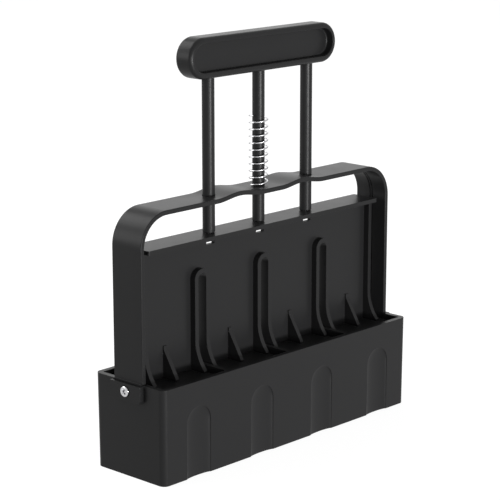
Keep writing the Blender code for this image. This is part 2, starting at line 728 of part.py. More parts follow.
def build_seed_pin(name, x, parts, material):
    stem = PIN_STEM_DIAMETER / 2
    base = PIN_DIAMETER / 2
    tip = PIN_TIP_DIAMETER / 2
    profile = [(0, PIN_STEM_LENGTH), (stem, PIN_STEM_LENGTH), (stem, 0), (base, 0)]
    for i in range(ARC_STEPS + 1):
        angle = math.radians(90) * i / ARC_STEPS
        radius = tip - PIN_TIP_ROUND * (1 - math.cos(angle))
        profile.append((radius, -PIN_LENGTH + PIN_TIP_ROUND * (1 - math.sin(angle))))
    profile.append((0, -PIN_LENGTH))
    pin = turned_solid(name, profile, parts)
    pin.location = (x, 0, PLATE_UNDERSIDE - SEAT_GAP)
    return finish(shade_round(pin), material)


def main():
    clear_scene()
    parts = make_collection("soil_blocker")
    cutters = make_collection("cutters")
    plastic = (0.030, 0.030, 0.031)
    bright_steel = (0.75, 0.76, 0.77)
    plunger_axis = bpy.data.objects.new("plunger_axis", None)
    parts.objects.link(plunger_axis)
    plunger_axis.location = (0, 0, FLANGE_TOP)
    bpy.context.view_layer.update()

    build_mould_box(parts, cutters, make_material("mould_box", plastic, 0.5, 0))
    build_bail(parts, cutters, make_material("bail_strap", plastic, 0.5, 0))
    for side, name in ((-1, "bail_screw_left"), (1, "bail_screw_right")):
        build_bail_screw(name, side, parts, make_material(name, bright_steel, 0.3, 1))
    build_spring(parts, make_material("spring", bright_steel, 0.25, 1))

    moving = [build_handle(parts, cutters, make_material("handle_grip", plastic, 0.45, 0))]
    moving.append(build_ejector(parts, cutters, make_material("ejector", plastic, 0.5, 0)))
    for x, side in zip(ROD_CENTRES, ROD_NAMES):
        name = "rod_" + side
        moving.append(build_rod(name, x, parts, make_material(name, plastic, 0.4, 0)))
        name = "rod_screw_" + side
        moving.append(build_rod_screw(name, x, parts, make_material(name, bright_steel, 0.3, 1)))
    for number, x in enumerate(CELL_CENTRES, 1):
        name = f"seed_pin_{number}"
        moving.append(build_seed_pin(name, x, parts, make_material(name, plastic, 0.5, 0)))
    for item in moving:
        set_parent(item, plunger_axis)


main()
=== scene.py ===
import math

import bmesh
import bpy
from mathutils import Matrix, Vector


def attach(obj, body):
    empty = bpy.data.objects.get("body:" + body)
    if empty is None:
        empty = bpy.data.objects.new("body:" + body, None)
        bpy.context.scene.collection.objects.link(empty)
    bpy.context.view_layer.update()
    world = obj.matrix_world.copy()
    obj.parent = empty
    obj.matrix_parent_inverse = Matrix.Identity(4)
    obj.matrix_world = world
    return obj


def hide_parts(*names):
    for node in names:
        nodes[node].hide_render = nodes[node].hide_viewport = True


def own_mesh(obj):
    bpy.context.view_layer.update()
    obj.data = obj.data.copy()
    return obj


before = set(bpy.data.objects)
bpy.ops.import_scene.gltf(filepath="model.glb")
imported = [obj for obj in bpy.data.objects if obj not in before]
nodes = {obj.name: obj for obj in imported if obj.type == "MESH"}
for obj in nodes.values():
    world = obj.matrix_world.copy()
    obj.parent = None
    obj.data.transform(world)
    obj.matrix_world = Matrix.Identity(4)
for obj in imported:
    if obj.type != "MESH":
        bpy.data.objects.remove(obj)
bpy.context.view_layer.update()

print("frame loaded:", len(nodes), "nodes")

cameraLook = {
    "target": (-0.004511, 0, 0.112475),
    "turn": 46.837,  # degrees from the front towards the left end
    "rise": 13.555,
    "distance": 1.13193,
    "lens": 135.89,
    "sensor": 36,
    "shiftX": -0.00638,
    "shiftY": 0.01082,
    "clipStart": 0.05,
    "clipEnd": 20,
}


def addCamera(look):
    turn = math.radians(look["turn"])
    rise = math.radians(look["rise"])
    back = Vector((-math.sin(turn) * math.cos(rise), -math.cos(turn) * math.cos(rise), math.sin(rise)))
    data = bpy.data.cameras.new("camera")
    data.sensor_width = look["sensor"]
    data.lens = look["lens"]
    data.shift_x = look["shiftX"]
    data.shift_y = look["shiftY"]
    data.clip_start = look["clipStart"]
    data.clip_end = look["clipEnd"]
    camera = bpy.data.objects.new("camera", data)
    bpy.context.scene.collection.objects.link(camera)
    camera.location = Vector(look["target"]) + back * look["distance"]
    camera.rotation_mode = "QUATERNION"
    camera.rotation_quaternion = (-back).to_track_quat("-Z", "Y")
    bpy.context.scene.camera = camera


# black moulded plastic and bright steel

plasticLook = {
    "colour": (0.0120, 0.0120, 0.0123),
    "metallic": 0,
    "specular": 0.1,
    "roughness": 0.34,
    "roughnessSpread": 0.05,
    "cloudScale": 60,
    "cloudDetail": 3,
    "grainScale": 2600,
    "grainDetail": 2,
    "grainDepth": 0.000012,
    "grainStrength": 0.5,
}
steelLook = {
    "colour": (0.48, 0.48, 0.49),
    "metallic": 1,
    "specular": 0.5,
    "roughness": 0.20,
    "roughnessSpread": 0.06,
    "cloudScale": 400,
    "cloudDetail": 3,
    "grainScale": 5000,
    "grainDetail": 2,
    "grainDepth": 0.000004,
    "grainStrength": 0.5,
}


def grainyMaterial(name, look):  # fine grain, with slow clouds that vary the gloss
    material = bpy.data.materials.new(name)
    material.use_nodes = True
    tree = material.node_tree
    shader = tree.nodes["Principled BSDF"]
    shader.inputs["Base Color"].default_value = (*look["colour"], 1)
    shader.inputs["Metallic"].default_value = look["metallic"]
    shader.inputs["Specular IOR Level"].default_value = look["specular"]
    spot = tree.nodes.new("ShaderNodeTexCoord")
    cloud = tree.nodes.new("ShaderNodeTexNoise")
    cloud.inputs["Scale"].default_value = look["cloudScale"]
    cloud.inputs["Detail"].default_value = look["cloudDetail"]
    gloss = tree.nodes.new("ShaderNodeMapRange")
    gloss.inputs["To Min"].default_value = look["roughness"] - look["roughnessSpread"]
    gloss.inputs["To Max"].default_value = look["roughness"] + look["roughnessSpread"]
    grain = tree.nodes.new("ShaderNodeTexNoise")
    grain.inputs["Scale"].default_value = look["grainScale"]
    grain.inputs["Detail"].default_value = look["grainDetail"]
    bump = tree.nodes.new("ShaderNodeBump")
    bump.inputs["Strength"].default_value = look["grainStrength"]
    bump.inputs["Distance"].default_value = look["grainDepth"]
    tree.links.new(spot.outputs["Object"], cloud.inputs["Vector"])
    tree.links.new(spot.outputs["Object"], grain.inputs["Vector"])
    tree.links.new(cloud.outputs["Fac"], gloss.inputs["Value"])
    tree.links.new(gloss.outputs["Result"], shader.inputs["Roughness"])
    tree.links.new(grain.outputs["Fac"], bump.inputs["Height"])
    tree.links.new(bump.outputs["Normal"], shader.inputs["Normal"])
    return material


def dress(piece, material):
    piece.data.materials.clear()
    piece.data.materials.append(material)


# studio: five soft lamps, and a floor and sky that look white but light the object less than that

studioLook = {
    "floorSize": 12,
    "floorDrop": 0.0003,
    "floorTone": 0.15,
    "floorShade": 0.25,
    "floorGlow": 0.9,
    "skyTone": 0.4,
    "lampAim": (0, 0, 0.1),
    "lamps": {  # place, power, width, height
        "front": ((-0.45, -1.4, 0.18), 12.5, 1.2, 0.3),
        "back": ((-0.35, 1.3, 1.3), 15, 1.0, 1.0),
        "rim": ((1.3, 1.25, 1.0), 2.2, 1.0, 1.0),
        "side": ((-0.95, 0.75, 0.45), 6, 0.8, 0.55),
        "low": ((-0.08, -1.2, 0.05), 14, 0.35, 0.1),
    },
}


def grey(tone):
    return (tone, tone, tone, 1)


def emptyTree(owner):
    owner.use_nodes = True
    owner.node_tree.nodes.clear()
    return owner.node_tree


def mixBySight(tree, unseen, seen, outName):  # seen is what the camera, gloss and glass show
    path = tree.nodes.new("ShaderNodeLightPath")
    share = path.outputs["Is Camera Ray"]
    for kind in ("Is Glossy Ray", "Is Transmission Ray"):
        either = tree.nodes.new("ShaderNodeMath")
        either.operation = "MAXIMUM"
        tree.links.new(share, either.inputs[0])
        tree.links.new(path.outputs[kind], either.inputs[1])
        share = either.outputs["Value"]
    mix = tree.nodes.new("ShaderNodeMixShader")
    out = tree.nodes.new(outName)
    tree.links.new(share, mix.inputs["Fac"])
    tree.links.new(unseen, mix.inputs[1])
    tree.links.new(seen, mix.inputs[2])
    tree.links.new(mix.outputs["Shader"], out.inputs["Surface"])


def addFloor(look):
    bpy.ops.mesh.primitive_plane_add(size=look["floorSize"], location=(0, 0, -look["floorDrop"]))
    floor = bpy.context.object
    floor.name = "floor"
    material = bpy.data.materials.new("floorWhite")
    tree = emptyTree(material)
    plain = tree.nodes.new("ShaderNodeBsdfDiffuse")
    plain.inputs["Color"].default_value = grey(look["floorTone"])
    shade = tree.nodes.new("ShaderNodeBsdfDiffuse")
    shade.inputs["Color"].default_value = grey(look["floorShade"])
    glow = tree.nodes.new("ShaderNodeEmission")
    glow.inputs["Strength"].default_value = look["floorGlow"]
    both = tree.nodes.new("ShaderNodeAddShader")
    tree.links.new(shade.outputs["BSDF"], both.inputs[0])
    tree.links.new(glow.outputs["Emission"], both.inputs[1])
    mixBySight(tree, plain.outputs["BSDF"], both.outputs["Shader"], "ShaderNodeOutputMaterial")
    floor.data.materials.append(material)


def addSky(look):
    world = bpy.data.worlds.new("studioWorld")
    bpy.context.scene.world = world
    tree = emptyTree(world)
    sky = tree.nodes.new("ShaderNodeBackground")
    sky.inputs["Color"].default_value = grey(look["skyTone"])
    white = tree.nodes.new("ShaderNodeBackground")
    white.inputs["Color"].default_value = grey(1)
    mixBySight(tree, sky.outputs["Background"], white.outputs["Background"], "ShaderNodeOutputWorld")


def addLamps(look):
    for name, (spot, power, width, height) in look["lamps"].items():
        data = bpy.data.lights.new(name, "AREA")
        data.shape = "RECTANGLE"
        data.energy = power
        data.size = width
        data.size_y = height
        lamp = bpy.data.objects.new(name, data)
        bpy.context.scene.collection.objects.link(lamp)
        lamp.location = spot
        lamp.rotation_mode = "QUATERNION"
        aim = Vector(look["lampAim"]) - lamp.location
        lamp.rotation_quaternion = aim.to_track_quat("-Z", "Y")


# what the pieces share

nearly = 0.00001  # places closer than this count as the same
mergeWithin = 0.000002  # points that two cuts leave this close become one
cutPast = 0.002  # a cutter stands this far out of what it cuts
circleGap = 0.000005  # two rounded corners stop this far apart, and are then joined
circleMerge = 0.00002
squareCorner = 60  # degrees
alongAxis = 0.999  # cosines of the angle to an axis
facesAxis = 0.99


def alone(piece):
    bpy.ops.object.select_all(action="DESELECT")
    piece.select_set(True)
    bpy.context.view_layer.objects.active = piece


def settle(piece):  # its place goes into its mesh, so its object sits at the origin
    alone(piece)
    bpy.ops.object.transform_apply(location=True, rotation=True, scale=True)
    return piece


def shiftBy(piece, x=0, y=0, z=0):
    piece.data.transform(Matrix.Translation((x, y, z)))
    return piece


def turnBy(piece, degrees, axis):
    piece.data.transform(Matrix.Rotation(math.radians(degrees), 4, axis))
    return piece


def addBox(name, low, high):
    bpy.ops.object.select_all(action="DESELECT")
    middle = [(a + b) / 2 for a, b in zip(low, high)]
    size = [b - a for a, b in zip(low, high)]
    bpy.ops.mesh.primitive_cube_add(size=1, location=middle, scale=size)
    bpy.context.object.name = name
    return settle(bpy.context.object)


def addFlat(name, low, high, height):  # one upward face, the start of a drawn shape
    bpy.ops.object.select_all(action="DESELECT")
    middle = ((low[0] + high[0]) / 2, (low[1] + high[1]) / 2, height)
    bpy.ops.mesh.primitive_plane_add(size=1, location=middle)
    flat = bpy.context.object
    flat.name = name
    flat.scale = (high[0] - low[0], high[1] - low[1], 1)
    return settle(flat)


def addRod(name, radius, low, high, sides):
    bpy.ops.object.select_all(action="DESELECT")
    middle = (0, 0, (low + high) / 2)
    bpy.ops.mesh.primitive_cylinder_add(vertices=sides, radius=radius, depth=high - low, location=middle)
    bpy.context.object.name = name
    return settle(bpy.context.object)


def addCrossRod(name, radius, low, high, height, sides):
    return shiftBy(turnBy(addRod(name, radius, low, high, sides), 90, "Y"), z=height)


def leaveEdit():
    bpy.ops.object.mode_set(mode="OBJECT")


def editAll(piece):
    alone(piece)
    bpy.ops.object.mode_set(mode="EDIT")
    bpy.ops.mesh.select_all(action="SELECT")


def pick(piece, kind, test):  # VERT, EDGE or FACE; edit mode stays on for the next step
    alone(piece)
    bpy.ops.object.mode_set(mode="EDIT")
    bpy.ops.mesh.select_mode(type=kind)
    bpy.ops.mesh.select_all(action="DESELECT")
    shape = bmesh.from_edit_mesh(piece.data)
    shape.normal_update()
    for part in {"VERT": shape.verts, "EDGE": shape.edges, "FACE": shape.faces}[kind]:
        if test(part):
            part.select_set(True)
    bmesh.update_edit_mesh(piece.data)


def runsAlong(edge, axis):
    way = (edge.verts[0].co - edge.verts[1].co).normalized()
    return abs(way[axis]) > alongAxis


def facesUp(face):
    return face.normal.z > facesAxis


def facesDown(face):
    return face.normal.z < -facesAxis


def sharpEdge(edge, degrees=30):
    return len(edge.link_faces) == 2 and edge.calc_face_angle() > math.radians(degrees)


def lowerRim(edge):  # of a round piece whose upper face is at height 0
    return sharpEdge(edge, 50) and max(vert.co.z for vert in edge.verts) < -nearly


def draw(x=0, z=0):  # carries the picked faces on and leaves walls behind
    bpy.ops.mesh.extrude_region_move(TRANSFORM_OT_translate={"value": (x, 0, z)})


def stretch(x, y, z, centre):
    bpy.ops.transform.resize(value=(x, y, z), center_override=centre)


def roundPicked(width, segments):
    bpy.ops.mesh.bevel(offset=width, segments=segments, affect="EDGES", clamp_overlap=True)
    leaveEdit()


def roundFully(half, segments):  # the picked corners meet in half circles
    bpy.ops.mesh.bevel(offset=half - circleGap, segments=segments, affect="EDGES", clamp_overlap=False)
    bpy.ops.mesh.select_all(action="SELECT")
    bpy.ops.mesh.remove_doubles(threshold=circleMerge)
    leaveEdit()


def faceOutward(piece):
    editAll(piece)
    bpy.ops.mesh.normals_make_consistent(inside=False)
    leaveEdit()
    return piece


def mirrorHalf(piece):  # the half drawn at the right gets its twin at the left
    pick(piece, "FACE", lambda face: max(vert.co.x for vert in face.verts) < nearly)
    bpy.ops.mesh.delete(type="FACE")
    leaveEdit()
    alone(piece)
    step = piece.modifiers.new("twin", "MIRROR")
    step.use_axis[0] = True
    step.merge_threshold = nearly
    bpy.ops.object.modifier_apply(modifier=step.name)
    return faceOutward(piece)


def mergeClose(piece):  # edit mode stays on here too
    editAll(piece)
    bpy.ops.mesh.remove_doubles(threshold=mergeWithin)


def carve(piece, tool, operation="DIFFERENCE"):
    alone(piece)
    step = piece.modifiers.new("carve", "BOOLEAN")
    step.operation = operation
    step.solver = "EXACT"
    step.object = tool
    bpy.ops.object.modifier_apply(modifier=step.name)
    bpy.data.objects.remove(tool)


def copyPiece(piece, name, shift):
    twin = piece.copy()
    twin.data = piece.data.copy()
    twin.name = name
    bpy.context.scene.collection.objects.link(twin)
    return shiftBy(twin, *shift)


def carveCopies(piece, first, places, operation="DIFFERENCE"):  # one copy at each place along X
    for x in places:
        carve(piece, copyPiece(first, first.name + "Copy", (x, 0, 0)), operation)
    bpy.data.objects.remove(first)


def soften(piece, width, segments, degrees=40):
    alone(piece)
    step = piece.modifiers.new("soften", "BEVEL")
    step.width = width
    step.segments = segments
    step.limit_method = "ANGLE"
    step.angle_limit = math.radians(degrees)
    bpy.ops.object.modifier_apply(modifier=step.name)


def evenShade(piece, degrees=32):  # big flat faces stay flat beside their rounded edges
    alone(piece)
    bpy.ops.object.shade_smooth_by_angle(angle=math.radians(degrees))
    step = piece.modifiers.new("evenShade", "WEIGHTED_NORMAL")
    step.keep_sharp = True
    bpy.ops.object.modifier_apply(modifier=step.name)
    return piece


def place(piece, material, body, replaced):
    dress(piece, material)
    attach(piece, body)
    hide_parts(replaced)


# handle: a bar with round ends, its faces sunk inside a wall that is thicker at the bottom

handleLook = {
    "length": 0.1254,
    "height": 0.0240,
    "depth": 0.0130,
    "bottom": 0.22385,
    "endSegments": 24,
    "wall": 0.0034,
    "sill": 0.0038,
    "panelDepth": 0.0050,
    "outerRound": 0.0024,
    "outerSegments": 5,
    "mouthRound": 0.0005,
    "mouthSegments": 3,
    "floorRound": 0.0009,
    "floorSegments": 3,
    "pickWithin": 0.0002,  # an edge this close to a face still counts as its edge
}


def makeHandle(look):
    half = look["height"] / 2
    reach = look["length"] / 2
    front = look["depth"] / 2
    middle = look["bottom"] + half
    top = look["bottom"] + look["height"]
    within = look["pickWithin"]
    piece = addBox("handle", (-reach, -front, look["bottom"]), (reach, front, top))
    pick(piece, "EDGE", lambda edge: runsAlong(edge, 1))
    roundFully(half, look["endSegments"])

    pick(piece, "FACE", lambda face: abs(face.normal.y) > facesAxis)
    bpy.ops.mesh.inset(thickness=look["wall"])
    shorter = (look["height"] - look["wall"] - look["sill"]) / (look["height"] - 2 * look["wall"])
    stretch(1, 1, shorter, (0, 0, top - look["wall"]))
    sink = {"value": -look["panelDepth"]}
    bpy.ops.mesh.extrude_region_shrink_fatten(TRANSFORM_OT_shrink_fatten=sink)
    leaveEdit()

    def fromCore(point):
        return math.hypot(max(abs(point.x) - (reach - half), 0), point.z - middle)

    def outerEdge(edge):
        return sharpEdge(edge) and min(fromCore(vert.co) for vert in edge.verts) > half - within

    def mouthEdge(edge):
        atFace = min(abs(vert.co.y) for vert in edge.verts) > front - within
        return sharpEdge(edge) and atFace and not outerEdge(edge)

    def floorEdge(edge):
        deepest = front - look["panelDepth"]
        return sharpEdge(edge) and max(abs(vert.co.y) for vert in edge.verts) < deepest + within

    for test, part in ((outerEdge, "outer"), (mouthEdge, "mouth"), (floorEdge, "floor")):
        pick(piece, "EDGE", test)
        roundPicked(look[part + "Round"], look[part + "Segments"])
    return evenShade(piece)


# strap: one bar section, drawn up the leg, round the bend and along the top over a finger hump

strapLook = {
    "outer": 0.1082,
    "top": 0.1550,
    "width": 0.0236,
    "thickness": 0.0028,
    "legBottom": 0.0572,
    "bendRadius": 0.0206,
    "bendSteps": 20,
    "humpHeight": 0.0020,
    "humpLength": 0.0380,
    "humpCentre": 0.0273,
    "humpSteps": 32,
    "edgeRound": 0.0005,
    "edgeSegments": 3,
    "lineEdges": (0.00035, 0.00135),  # from the middle to both sides of a sunk line
    "lineFloor": (0.00065, 0.00105),
    "lineDepth": 0.0009,
    "rodHole": 0.0040,
    "rodHoleReach": 0.01,
    "rods": (-0.0423, 0, 0.0423),
    "footHalfWidth": 0.0111,
    "footBottom": 0.0477,
    "footTop": 0.0578,
    "footProud": 0.0006,
    "footRound": 0.0003,
    "footSegments": 2,
    "screwHole": 0.0023,
    "screwHeight": 0.0518,
    "holeSides": 48,
}


def humpRise(look, x):
    offset = abs(x - look["humpCentre"])
    if offset >= look["humpLength"] / 2:
        return 0
    return look["humpHeight"] * math.cos(math.pi * offset / look["humpLength"]) ** 2


def sinkLines(look, piece, inner):  # two, one on each side of the inner face's middle
    bpy.ops.object.mode_set(mode="EDIT")
    for y in sorted(look["lineEdges"] + look["lineFloor"]):
        for side in (-1, 1):
            bpy.ops.mesh.select_all(action="SELECT")
            bpy.ops.mesh.bisect(plane_co=(0, side * y, 0), plane_no=(0, 1, 0))
    leaveEdit()

    def onFloor(vert):
        if abs(vert.co.x - inner) > nearly:
            return False
        return min(abs(abs(vert.co.y) - y) for y in look["lineFloor"]) < nearly

    pick(piece, "VERT", onFloor)
    bpy.ops.transform.translate(value=(look["lineDepth"], 0, 0))
    leaveEdit()


def drawHalfStrap(look, piece):  # up the leg, round the bend, and along the top to the middle
    bend = look["bendRadius"]
    pivot = (look["outer"] - bend, 0, look["top"] - bend)
    editAll(piece)
    bpy.ops.mesh.select_mode(type="FACE")
    draw(z=look["top"] - bend - look["legBottom"])
    bpy.ops.mesh.spin(steps=look["bendSteps"], angle=math.radians(90), center=pivot, axis=(0, 1, 0))
    start = look["humpCentre"] + look["humpLength"] / 2
    stops = [start - look["humpLength"] * i / look["humpSteps"] for i in range(look["humpSteps"] + 1)]
    x, z = pivot[0], 0
    for stop in stops + [0]:
        rise = humpRise(look, stop)
        draw(x=stop - x, z=rise - z)
        x, z = stop, rise
    leaveEdit()


def makeStrap(look):
    outer = look["outer"]
    inner = outer - look["thickness"]
    half = look["width"] / 2
    piece = addFlat("strap", (inner, -half), (outer, half), look["legBottom"])
    sinkLines(look, piece, inner)
    drawHalfStrap(look, piece)
    mirrorHalf(piece)

    def longEdge(edge):
        atSide = min(abs(vert.co.y) for vert in edge.verts) > half - nearly
        return sharpEdge(edge, squareCorner) and atSide

    pick(piece, "EDGE", longEdge)
    roundPicked(look["edgeRound"], look["edgeSegments"])
    for side in (-1, 1):
        width = look["footHalfWidth"]
        low, high = sorted((side * inner, side * (outer + look["footProud"])))
        foot = addBox("foot", (low, -width, look["footBottom"]), (high, width, look["footTop"]))
        soften(foot, look["footRound"], look["footSegments"])
        carve(piece, foot, "UNION")
        low, high = sorted((side * (inner - cutPast / 2), side * (outer + cutPast)))
        hole = addCrossRod("hole", look["screwHole"], low, high, look["screwHeight"], look["holeSides"])
        carve(piece, hole)
    low = look["top"] - look["rodHoleReach"]
    high = look["top"] + look["rodHoleReach"]
    carveCopies(piece, addRod("hole", look["rodHole"], low, high, look["holeSides"]), look["rods"])
    mergeClose(piece)
    leaveEdit()
    return evenShade(piece)


# box: four open cells in a row, arched scoops in its long walls, a screw pad on each end wall

boxLook = {
    "length": 0.2156,
    "depth": 0.0560,
    "height": 0.0570,
    "lean": 0.00035,
    "cornerRound": 0.0040,
    "cornerSegments": 8,
    "cell": 0.0500,
    "pitch": 0.0532,
    "cellRound": 0.0010,
    "cellSegments": 4,
    "cells": (-1.5, -0.5, 0.5, 1.5),
    "scoopWidth": 0.0194,
    "scoopDepth": 0.0015,
    "scoopHeight": 0.0425,
    "scoopSides": 64,
    "padReach": 0.0031,
    "padRoot": 0.0010,
    "padHalfWidth": 0.0124,
    "padTop": 0.0565,
    "padBottom": 0.0463,
    "padRound": 0.0020,
    "padSegments": 8,
    "pocketHalfWidth": 0.0114,
    "pocketFloor": 0.0475,
    "pocketOuter": 0.1099,
    "pocketInner": 0.1020,
    "screwHole": 0.0023,
    "screwHoleDepth": 0.0020,
    "screwSink": 0.00345,
    "screwSinkDepth": 0.0005,
    "screwHeight": 0.0518,
    "holeSides": 48,
    "edgeRound": 0.0003,
    "edgeSegments": 2,
}


def makeBox(look):
    end = look["length"] / 2
    front = look["depth"] / 2
    height = look["height"]
    piece = addBox("box", (-end, -front, 0), (end, front, height))
    pick(piece, "EDGE", lambda edge: runsAlong(edge, 2))
    roundPicked(look["cornerRound"], look["cornerSegments"])
    pick(piece, "FACE", facesUp)
    stretch((end + look["lean"]) / end, (front + look["lean"]) / front, 1, (0, 0, height))
    leaveEdit()

    for side in (-1, 1):
        carve(piece, makePad(look, side, end), "UNION")
    for number in look["cells"]:
        x = number * look["pitch"]
        half = look["cell"] / 2
        cell = addBox("cell", (x - half, -half, -cutPast), (x + half, half, height + cutPast))
        pick(cell, "EDGE", lambda edge: runsAlong(edge, 2))
        roundPicked(look["cellRound"], look["cellSegments"])
        carve(piece, cell)
    for side in (-1, 1):
        low, high = sorted((side * look["pocketInner"], side * look["pocketOuter"]))
        width = look["pocketHalfWidth"]
        carve(piece, addBox("pocket", (low, -width, look["pocketFloor"]), (high, width, height + cutPast)))
        face = end + look["padReach"]
        for part in ("screwSink", "screwHole"):
            low, high = sorted((side * (face - look[part + "Depth"]), side * (face + cutPast)))
            carve(piece, addCrossRod("hole", look[part], low, high, look["screwHeight"], look["holeSides"]))
    soften(piece, look["edgeRound"], look["edgeSegments"])
    for number in look["cells"]:
        for side in (-1, 1):
            carve(piece, makeScoop(look, number * look["pitch"], side * front))
    return evenShade(piece)


def makePad(look, side, end):  # its two lower corners are round
    low, high = sorted((side * (end - look["padRoot"]), side * (end + look["padReach"])))
    width = look["padHalfWidth"]
    pad = addBox("pad", (low, -width, look["padBottom"]), (high, width, look["padTop"]))
    middle = (look["padBottom"] + look["padTop"]) / 2
    pick(pad, "EDGE", lambda edge: runsAlong(edge, 0) and edge.verts[0].co.z < middle)
    roundPicked(look["padRound"], look["padSegments"])
    return pad


def makeScoop(look, x, y):  # a flattened ball whose lower half is pulled down past the box's bottom
    half = look["scoopWidth"] / 2
    crown = look["scoopHeight"] - half
    sides = look["scoopSides"]
    bpy.ops.object.select_all(action="DESELECT")
    bpy.ops.mesh.primitive_uv_sphere_add(segments=sides, ring_count=sides // 2, radius=1)
    scoop = bpy.context.object
    scoop.scale = (half, look["scoopDepth"], half)
    scoop.location = (x, y, crown)
    settle(scoop)
    pick(scoop, "VERT", lambda vert: vert.co.z < crown - nearly)
    bpy.ops.transform.translate(value=(0, 0, -look["scoopHeight"]))
    leaveEdit()
    return scoop


# rods: plain push rods with a small chamfer

rodLook = {
    "radius": 0.0037,
    "bottom": 0.1332,
    "top": 0.2268,
    "sides": 64,
    "chamfer": 0.0005,
    "chamferSegments": 2,
    "places": {"rod_left": -0.0423, "rod_middle": 0, "rod_right": 0.0423},
}


def makeRod(look):
    rod = addRod("rod", look["radius"], look["bottom"], look["top"], look["sides"])
    pick(rod, "EDGE", lambda edge: sharpEdge(edge, squareCorner))
    roundPicked(look["chamfer"], look["chamferSegments"])
    return evenShade(rod)


# spring: open coils of bright wire, loose on the middle rod

springLook = {
    "coilRadius": 0.00545,
    "wireRadius": 0.0005,
    "wireSides": 14,
    "pitch": 0.00415,
    "turns": 10.04,
    "stepsPerTurn": 40,
    "startDegrees": 172,
    "shadeDegrees": 60,
    "foot": 0.1557,
    "pressed": 0.43,  # share of its height that is left when the handle is down
}


def makeSpring(look):
    bpy.ops.object.select_all(action="DESELECT")
    bpy.ops.mesh.primitive_circle_add(
        vertices=look["wireSides"],
        radius=look["wireRadius"],
        location=(look["coilRadius"], 0, look["foot"]),
        rotation=(math.radians(90), 0, 0),
    )
    piece = settle(bpy.context.object)
    piece.name = "returnSpring"
    step = piece.modifiers.new("wind", "SCREW")
    step.axis = "Z"
    step.angle = math.radians(360) * look["turns"]
    step.screw_offset = look["pitch"] * look["turns"]
    step.steps = round(look["turns"] * look["stepsPerTurn"])
    step.render_steps = step.steps
    bpy.ops.object.modifier_apply(modifier=step.name)
    editAll(piece)
    bpy.ops.mesh.fill_holes(sides=0)
    leaveEdit()
    faceOutward(piece)
    turnBy(piece, look["startDegrees"], "Z")
    return evenShade(piece, look["shadeDegrees"])


# screws: a pan head with a cross recess, whose stem stands up from height 0; one model per length

screwLook = {
    "headRadius": 0.00315,
    "headHeight": 0.0013,
    "headRound": 0.0007,
    "headSegments": 6,
    "headSides": 48,
    "stemRadius": 0.0020,
    "stemRoot": 0.0005,
    "stemSides": 32,
    "recessLength": 0.0048,
    "recessWidth": 0.0015,
    "recessDepth": 0.0011,
    "recessTaper": 0.55,
    "recessTurn": 45,
    "bailSeat": 0.1106,
    "bailHeight": 0.0518,
    "bailStem": 0.0049,
    "rodSeat": 0.1303,
    "rodStem": 0.0143,
}


def makeScrew(look, length):
    screw = addRod("screw", look["headRadius"], -look["headHeight"], 0, look["headSides"])
    pick(screw, "EDGE", lowerRim)
    roundPicked(look["headRound"], look["headSegments"])
    carve(screw, addRod("stem", look["stemRadius"], -look["stemRoot"], length, look["stemSides"]), "UNION")
    floor = look["recessDepth"] - look["headHeight"]
    low = -look["headHeight"] - cutPast / 2
    half = look["recessLength"] / 2
    side = look["recessWidth"] / 2
    for x, y in ((half, side), (side, half)):
        slot = addBox("slot", (-x, -y, low), (x, y, floor))
        pick(slot, "FACE", facesUp)
        stretch(look["recessTaper"], look["recessTaper"], 1, (0, 0, floor))
        leaveEdit()
        carve(screw, slot)
    return evenShade(turnBy(screw, look["recessTurn"], "Z"))


# ejector: one moulding of flange, web, hairpin ribs, end ribs, gussets and presser plates

ejectorLook = {
    "half": 0.1000,
    "flangeTop": 0.1330,
    "flangeThickness": 0.0025,
    "flangeDepth": 0.0192,
    "cornerRound": 0.0012,
    "cornerSegments": 5,
    "webThickness": 0.0026,
    "plateTop": 0.0535,
    "plateThickness": 0.0030,
    "plateSize": 0.0492,
    "plateRound": 0.0010,
    "plateSegments": 5,
    "pitch": 0.0532,
    "cells": (-1.5, -0.5, 0.5, 1.5),
    "dividers": (-1, 0, 1),
    "ribThickness": 0.0028,
    "ribDepth": 0.0104,
    "ribFoot": 0.0248,
    "ribToe": 0.0008,
    "flareHeight": 0.0176,
    "flareSteps": 14,
    "hairpinTop": 0.1140,
    "hairpinGap": 0.0064,
    "hairpinSteps": 28,
    "slotReach": 0.0040,
    "slotDepth": 0.0024,
    "gussetThickness": 0.0026,
    "gussetHeight": 0.0192,
    "gussetFoot": 0.0240,
    "gussetTip": 0.0042,
    "gussetTipDrop": 0.0022,
    "gussets": (-0.0806, -0.0266, 0.0266, 0.0806),
    "windowWidth": 0.0068,
    "windowHeight": 0.0043,
    "windowHalfDepth": 0.0030,
    "rods": (-0.0423, 0, 0.0423),
    "screwHole": 0.0023,
    "pinHole": 0.0023,
    "pinHoleDepth": 0.0024,
    "holeSides": 32,
    "join": 0.0004,
    "shave": 0.00002,  # the slot cuts this much into the hairpin, so no two faces coincide
    "flatDegrees": 0.5,
    "edgeRound": 0.0004,
    "edgeSegments": 2,
    "edgeDegrees": 30,
}


# height above the plate and half depth of a rib, from where it starts to flare down to its toe
def flareStops(look):
    straight = look["ribDepth"] / 2
    spread = look["ribFoot"] / 2 - straight
    radius = (look["flareHeight"] ** 2 + spread ** 2) / (2 * spread)
    full = math.asin(look["flareHeight"] / radius)
    top = look["ribToe"] + look["flareHeight"]
    stops = []
    for i in range(look["flareSteps"] + 1):
        angle = full * i / look["flareSteps"]
        stops.append((top - radius * math.sin(angle), straight + radius * (1 - math.cos(angle))))
    stops.append((-look["join"], stops[-1][1]))
    return stops


